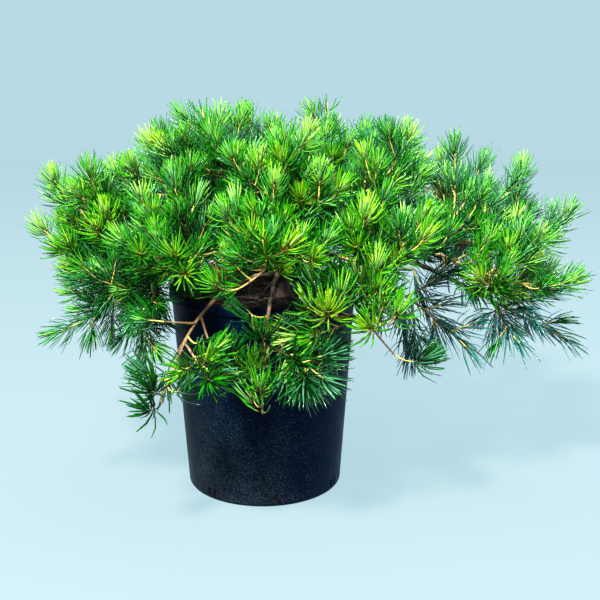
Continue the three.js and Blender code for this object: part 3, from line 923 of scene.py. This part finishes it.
def needle_faces():
    """The faces of one leaf: those of each side in turn, from base to tip, and the underside last."""
    tip = 1 + NEEDLE_SIDES * len(NEEDLE_STATIONS)
    last_ring = tip - NEEDLE_SIDES
    faces = []
    for k in range(NEEDLE_SIDES):
        j = (k + 1) % NEEDLE_SIDES
        faces.append((0, 1 + j, 1 + k))
        for low in range(1, last_ring, NEEDLE_SIDES):
            high = low + NEEDLE_SIDES
            faces.append((low + k, low + j, high + j, high + k))
        faces.append((last_ring + k, last_ring + j, tip))
    return faces


def needle_slots(leaves):
    """The number of the material of each face of each leaf."""
    parts = len(NEEDLE_STEPS)
    face = np.arange(NEEDLE_SIDES * parts)
    below = face >= (NEEDLE_SIDES - 1) * parts
    at_base = face % parts == 0
    # Dark tips stop short of the last shade, the blue, which only whole leaves have
    blue = len(GREENS) - 1
    own = np.floor(leaves.shade * len(GREENS)).astype(int)
    darkest = np.clip(own, blue - 1, blue)
    shade = np.clip(own[:, None] + np.tile(NEEDLE_STEPS, NEEDLE_SIDES), 0, darkest[:, None])
    slots = np.where(below, len(GREENS) + np.array(UNDERSIDE_OF)[shade], shade)
    golden_slot = len(GREENS) + len(UNDERSIDES)
    slots[(leaves.shade[:, None] < GOLDEN_BASE) & at_base] = golden_slot
    slots[leaves.shade >= DEAD] = golden_slot + 1
    return slots


def needle_mesh(name, leaves, dead=STRAW):
    """Joined three-sided needles, paler below, with dark tips, and golden bases where they are young."""
    points = needle_points(leaves)
    count, per_leaf, _ = points.shape
    faces = needle_faces()
    corners = np.arange(count)[:, None] * per_leaf + np.concatenate(faces)
    face_sizes = np.tile([len(face) for face in faces], count)
    face_starts = np.concatenate([[0], np.cumsum(face_sizes)[:-1]])
    mesh = bpy.data.meshes.new(name)
    mesh.vertices.add(count * per_leaf)
    mesh.vertices.foreach_set("co", points.ravel() * MM)
    mesh.loops.add(corners.size)
    mesh.loops.foreach_set("vertex_index", corners.ravel())
    mesh.polygons.add(len(face_sizes))
    mesh.polygons.foreach_set("loop_start", face_starts)
    mesh.polygons.foreach_set("material_index", needle_slots(leaves).ravel())
    mesh.polygons.foreach_set("use_smooth", np.ones(len(face_sizes), bool))
    for material in (*GREENS, *UNDERSIDES, LEAF_BASE, dead):
        mesh.materials.append(material)
    mesh.update(calc_edges=True)
    mesh.validate()
    return mesh


# Pieces
def smooth(piece, angle=35):
    """Smooth shading, with a crease wherever two faces meet at more than an angle in degrees."""
    piece.data.shade_smooth()
    piece.data.set_sharp_from_angle(angle=math.radians(angle))


def finish_piece(piece, slot, *nodes):
    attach(piece, "root")
    if nodes:
        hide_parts(*nodes)


def make_pot():
    lip_radius = POT.top_radius + POT.lip_overhang
    lip_foot = POT.height - POT.lip_height
    foot_corner = (POT.base_radius - POT.corner_radius, POT.corner_radius)
    lip_edge = (lip_radius - POT.lip_round, POT.height - POT.lip_round)
    profile = [
        (0, 0),
        *arc(foot_corner, POT.corner_radius, -90, 0, POT.corner_steps),
        (wall_radius(lip_foot), lip_foot),
        (lip_radius, lip_foot + POT.lip_overhang),
        *arc(lip_edge, POT.lip_round, 0, 90, POT.lip_steps),
        (inner_radius(POT.height), POT.height),
        (inner_radius(POT.floor), POT.floor),
        (0, POT.floor),
    ]
    slot_middle = POT.floor + SLOT.foot + SLOT.height / 2
    piece = run_tree(
        drain_tree(), "nursery_pot", turned_mesh("pot_shell", profile, POT.sides),
        Groups=SLOT.groups,
        First=math.radians(SLOT.first_angle),
        Pair=math.radians(SLOT.pair_angle),
        Ring=POT.base_radius * MM,
        Height=slot_middle * MM,
        Size=(SLOT.depth * MM, SLOT.width * MM, SLOT.height * MM),
        Material=pot_material(),
    )
    smooth(piece)
    finish_piece(piece, "pot_plastic", "pot")


def make_mix():
    edge = POT.height - MIX.below
    foot = POT.floor + CLEAR
    rim = inner_radius(edge) - CLEAR
    profile = [(0, foot), (inner_radius(foot) - CLEAR, foot)]
    for share in np.linspace(1, 0, MIX.rings, endpoint=False):
        height = edge + MIX.mound * min(1, (1 - share) / (1 - MIX.crown))
        profile.append((rim * share, height))
    profile.append((0, edge + MIX.mound))
    top = (edge - MIX.skin) * MM  # the mix is rough, and carries chips, from here up
    surface = run_tree(
        lump_tree(), "potting_mix_surface", turned_mesh("mix_body", profile, MIX.sides),
        Lump=SOIL.lump * MM,
        Grain=SOIL.lump_grain,
        Foot=top,
        Material=mix_material("potting_mix", SOIL.dark, SOIL.light, SOIL.crumb_grain),
    )
    smooth(surface)
    finish_piece(surface, "potting_mix", "potting_mix")
    chips = chip_tree()
    for name, density, seed, smallest, largest, dark, light in CHIPS:
        piece = run_tree(
            chips, name, surface.data.copy(),
            Density=density,
            Seed=seed,
            Smallest=tuple(size * MM for size in smallest),
            Largest=tuple(size * MM for size in largest),
            Foot=top,
            Material=mix_material(name, dark, light, SOIL.chip_grain),
        )
        finish_piece(piece, "potting_mix")


def mix_height(radius):
    rim = inner_radius(POT.height - MIX.below)
    return POT.height - MIX.below + MIX.mound * np.minimum(1, (1 - radius / rim) / (1 - MIX.crown))


def make_litter():
    """Dead needles and dry twigs that lie on the mix."""
    random = np.random.default_rng(LITTER.seed)
    rim = inner_radius(POT.height - MIX.below) - LITTER.length / 2

    def lying(count, length, high):
        radius = rim * np.sqrt(random.random(count))
        place = random.uniform(0, 2 * math.pi, count)
        facing = random.uniform(0, 2 * math.pi, count)
        height = mix_height(radius) + high
        centre = np.stack([radius * np.cos(place), radius * np.sin(place), height], axis=1)
        slope = random.uniform(LITTER.dip, LITTER.rise, count)
        along = np.stack([np.cos(facing), np.sin(facing), slope], axis=1)
        share = random.uniform(LITTER.shortest, LITTER.longest, count)
        return centre, along * length * share[:, None] / 2

    for name, count, colour in FALLEN_NEEDLES:
        centre, half = lying(count, LITTER.length, LITTER.height)
        bowed = centre + UP * random.uniform(0, LITTER.bow, count)[:, None]
        leaves = Leaves(
            centre - half, bowed, centre + half, np.tile(UP, (count, 1)),
            np.full(count, LITTER.width), np.full(count, DEAD),
        )
        finish_piece(link_piece(name, needle_mesh(name, leaves, leaf_green(name, colour))), "foliage")
    twigs = []
    for centre, half in zip(*lying(LITTER.twigs, LITTER.twig_length, LITTER.twig_height)):
        path = Path(centre - half, centre + UP * LITTER.twig_bow, centre + half)
        twigs.append(Wood(path, LITTER.twig_root, LITTER.twig_tip))
    make_wood("dry_twigs", twigs, "old_bark", [], OLD_BARK, RELIEF["dry_twig"])


def make_wood(name, woods, slot, nodes, material, relief):
    piece = run_tree(
        BARK_TREE, name, wood_curves(f"{name}_paths", woods, relief.step),
        Sides=relief.sides,
        Wander=relief.wander * MM,
        Relief=relief.height * MM,
        Grain=relief.grain,
        Material=material,
    )
    finish_piece(piece, slot, *nodes)


def make_woods(name, groups, barks, relief):
    """A piece for each kind of bark. groups has the woods of each kind by the node that they replace."""
    for kind, woods in groups.items():
        if woods:
            parts = [wood for group in woods.values() for wood in group]
            make_wood(f"{kind}_{name}", parts, "young_bark", woods, barks[kind], relief)


def habit_of(row):
    return HABITS[row.get("habit", "brush")]


def grow_mass(row, bough, seed):
    """The stem and twigs of one mass of leaves, its shoots, and the sprays on them."""
    fine = np.random.default_rng(seed)
    habit = habit_of(row)
    stem = grow_stem(row, bough)
    twigs = grow_twigs(row, stem, seeded(seed))
    shades = np.broadcast_to(row["shade"], len(twigs))
    inner = round(bough.path.length * (INNER_SHOOT.last - INNER_SHOOT.first) / habit.inner)
    parents = [
        (bough, INNER_SHOOT, inner, habit.lift, shades.mean()),
        (stem, STEM_SHOOT, habit.stem, habit.lift, shades.mean()),
    ]
    sprays = []
    sides = np.broadcast_to(row.get("side", habit.side), len(twigs))
    upturns = np.broadcast_to(row.get("upturn", habit.lift), len(twigs))
    for twig, shade, side, upturn in zip(twigs, shades, sides, upturns):
        parents += [(twig, habit.rule, side, upturn, shade), (twig, LEADER, LEADER.count, upturn, shade)]
        sprays.append(Spray(twig.path, habit, habit.bare_twig, shade + TWIG_DARKER))
    shoots = []
    for parent, rule, count, upturn, shade in parents:
        for shoot in grow_shoots(parent, rule, count, upturn, fine):
            dead = rule is INNER_SHOOT and fine.random() < DEAD_SHARE
            own = shade + rule.darker + fine.normal(0, SHADE_SPREAD.shoot)
            shoots.append(shoot)
            sprays.append(Spray(shoot.path, habit, habit.bare, DEAD if dead else own))
    return [stem, *twigs], shoots, sprays


def grow_limb_leaves(limb, random):
    """Shoots and sprays on a main limb itself."""
    habit = HABITS["brush"]
    count = round(limb.path.length * (LIMB_SHOOT.last - LIMB_SHOOT.first) / LIMB_LEAVES.gap)
    shoots = grow_shoots(limb, LIMB_SHOOT, count, habit.lift, random)
    return shoots, [Spray(shoot.path, habit, habit.bare, LIMB_LEAVES.shade) for shoot in shoots]


def make_plant():
    trunk = grow_trunk()
    limbs = {name: grow_limb(row, trunk, LIMB) for name, row in LIMBS.items()}
    make_wood("trunk_bark", [trunk], "old_bark", ["trunk"], OLD_BARK, RELIEF["trunk"])
    make_wood("limb_bark", limbs.values(), "old_bark", limbs, OLD_BARK, RELIEF["limb"])
    boughs = {wood: {} for wood in BOUGH_BARKS}
    index = 0
    for carrier, rows in BOUGHS.items():
        random = np.random.default_rng(SEED.first + index)
        twigs = {wood: {} for wood in TWIG_BARKS}
        shoots, sprays = [], []
        if carrier in limbs:
            shoots, sprays = grow_limb_leaves(limbs[carrier], random)
        for name, row in rows.items():
            bough = grow_limb(row, limbs.get(carrier, trunk), BOUGH)
            woods, own_shoots, own_sprays = grow_mass(row, bough, SEED.first + SEED.step * index)
            wood = habit_of(row).wood
            boughs[wood][f"bough_{name}"] = [bough]
            twigs[wood][f"leaves_{name}"] = woods
            shoots += own_shoots
            sprays += own_sprays
            index += 1
        nodes = [f"leaves_{name}" for name in rows]
        make_woods(f"twigs_on_{carrier}", twigs, TWIG_BARKS, RELIEF["twig"])
        make_wood(f"shoots_on_{carrier}", shoots, "young_bark", nodes, SHOOT_BARK, RELIEF["shoot"])
        leaves = fitting_leaves(Leaves.joined([spray_leaves(spray, random) for spray in sprays]))
        for first in range(0, len(leaves.shade), LEAVES_PER_PIECE):
            name = f"needles_on_{carrier}_{first // LEAVES_PER_PIECE + 1}"
            piece = link_piece(name, needle_mesh(name, leaves.only(slice(first, first + LEAVES_PER_PIECE))))
            finish_piece(piece, "foliage", *nodes)
    make_woods("boughs", boughs, BOUGH_BARKS, RELIEF["bough"])


# Camera, light and stage
def make_camera():
    camera = link_piece("view", bpy.data.cameras.new("view"))
    camera.location = [size * MM for size in VIEW.place]
    camera.rotation_euler = (math.radians(90 - VIEW.pitch), 0, 0)
    camera.data.sensor_width = VIEW.sensor
    camera.data.lens = VIEW.sensor * VIEW.focal_px / VIEW.frame_px
    bpy.context.scene.camera = camera


def make_light(name, place, aim, size, power, colour):
    light = bpy.data.lights.new(name, "AREA")
    light.shape = "DISK"
    light.size = size
    light.energy = power
    light.color = colour
    lamp = link_piece(name, light)
    lamp.location = place
    lamp.visible_camera = False
    lamp.rotation_euler = (Vector(aim) - Vector(place)).to_track_quat("-Z", "Y").to_euler()


def make_stage():
    """A pale floor that sweeps up to a wall all round."""
    profile = [(radius, -CLEAR) for radius in SWEEP.floor_rings]
    profile += arc((SWEEP.radius, SWEEP.bend - CLEAR), SWEEP.bend, -90, 0, SWEEP.bend_steps)
    profile.append((SWEEP.radius + SWEEP.bend, SWEEP.wall))
    points = np.concatenate([[UP * -CLEAR], turned_points(profile, SWEEP.sides)])
    faces = []
    for i in range(SWEEP.sides):
        j = (i + 1) % SWEEP.sides
        faces.append((0, 1 + i, 1 + j))
        for k in range(len(profile) - 1):
            low = 1 + k * SWEEP.sides
            high = low + SWEEP.sides
            faces.append((low + i, high + i, high + j, low + j))
    mesh = bpy.data.meshes.new("studio_sweep")
    mesh.from_pydata(points * MM, [], faces)
    mesh.shade_smooth()
    material, _, shader = new_material("studio_sweep", SWEEP.colour, 1.0)
    shader.inputs["Specular IOR Level"].default_value = 0.0
    shader.inputs["Emission Color"].default_value = (*SWEEP.glow, 1)
    shader.inputs["Emission Strength"].default_value = SWEEP.glow_strength
    mesh.materials.append(material)
    sweep = link_piece("studio_sweep", mesh)
    sweep.visible_diffuse = False


def make_world():
    world = bpy.data.worlds.new("studio")
    world.use_nodes = True
    background = world.node_tree.nodes["Background"]
    background.inputs["Color"].default_value = (*BACKDROP.colour, 1)
    background.inputs["Strength"].default_value = BACKDROP.strength
    bpy.context.scene.world = world


make_pot()
make_mix()
make_litter()
make_plant()
make_camera()
make_stage()
for light_name, settings in LIGHTS.items():
    make_light(light_name, *settings)
make_world()
bpy.context.scene.view_settings.view_transform = "Standard"
bpy.context.scene.view_settings.look = "Medium High Contrast"
